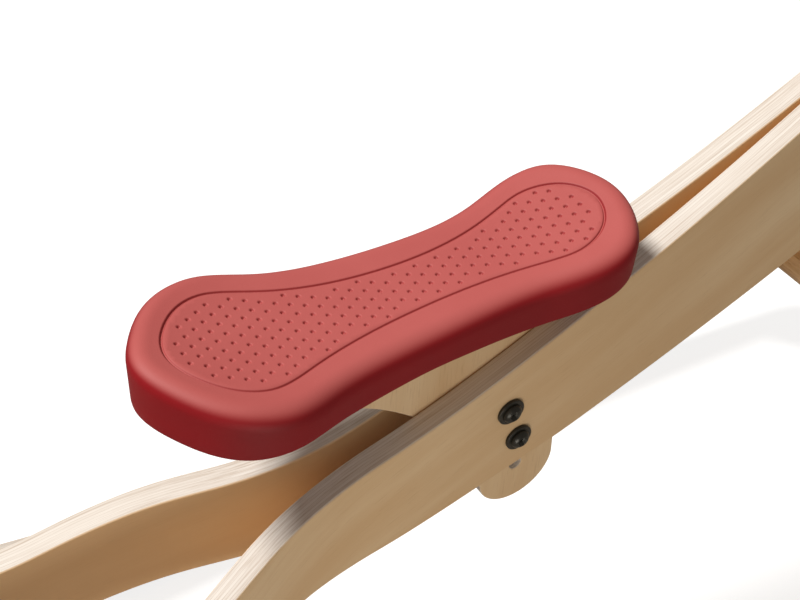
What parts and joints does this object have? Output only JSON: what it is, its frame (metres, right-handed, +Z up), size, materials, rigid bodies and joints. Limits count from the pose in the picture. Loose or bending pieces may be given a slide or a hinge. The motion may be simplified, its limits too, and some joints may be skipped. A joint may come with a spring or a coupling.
{
  "type": "rocking horse",
  "caption": "Toddler's rocking horse of bent birch plywood with a red moulded saddle that slides up and down on a clamped plate between two rails.",
  "frame": {"origin": "centre of the object's box on the floor plane", "axes": "+X forward, towards the horse's head; +Y to the horse's left; +Z up"},
  "size_m": [0.83, 0.37, 0.545],
  "materials": {
    "saddle_foam": "matte moulded soft foam skin",
    "hidden_ply": "raw plywood",
    "zinc_screw": "zinc plated",
    "birch_ply": "clear matte lacquer, bare ply edges",
    "beech": "clear matte lacquer",
    "floor_rubber": "matte",
    "cap_rubber": "matte",
    "grip_foam": "matte moulded soft foam skin",
    "red_felt": "pressed wool felt",
    "eye_black": "glossy",
    "black_steel": "satin black"
  },
  "bodies": {
    "frame": {"rail_left": "birch_ply", "rail_right": "birch_ply", "runner_left": "birch_ply", "runner_right": "birch_ply", "floor_strip_left": "floor_rubber", "floor_strip_right": "floor_rubber", "front_leg_left": "birch_ply", "front_leg_right": "birch_ply", "head_cheek_left": "birch_ply", "head_cheek_right": "birch_ply", "head_core": "birch_ply", "mane": "red_felt", "ear_left": "red_felt", "ear_right": "red_felt", "eye_left": "eye_black", "eye_right": "eye_black", "handle_bar": "beech", "grip_left": "grip_foam", "grip_right": "grip_foam", "foot_peg_left": "beech", "foot_peg_right": "beech", "peg_cap_left": "cap_rubber", "peg_cap_right": "cap_rubber", "rear_stretcher": "beech", "front_stretcher": "beech", "seat_bolts": "black_steel", "seat_nuts": "black_steel", "seat_washers": "black_steel", "head_bolts": "black_steel", "head_nuts": "black_steel", "neck_bolts": "black_steel", "neck_nuts": "black_steel", "leg_bolts": "black_steel", "leg_nuts": "black_steel", "rear_joint_bolts": "black_steel", "rear_joint_nuts": "black_steel", "front_joint_bolts": "black_steel", "front_joint_nuts": "black_steel", "stretcher_screws": "black_steel"},
    "saddle": {"saddle_pad": "saddle_foam", "saddle_board": "hidden_ply", "saddle_screws": "zinc_screw", "seat_plate": "birch_ply"}
  },
  "joints": [
    {"name": "seat_height", "type": "slide", "parent": "frame", "child": "saddle", "axis": [-0.3206, 0, 0.9472], "range_m": [0, 0.0408]}
  ]
}
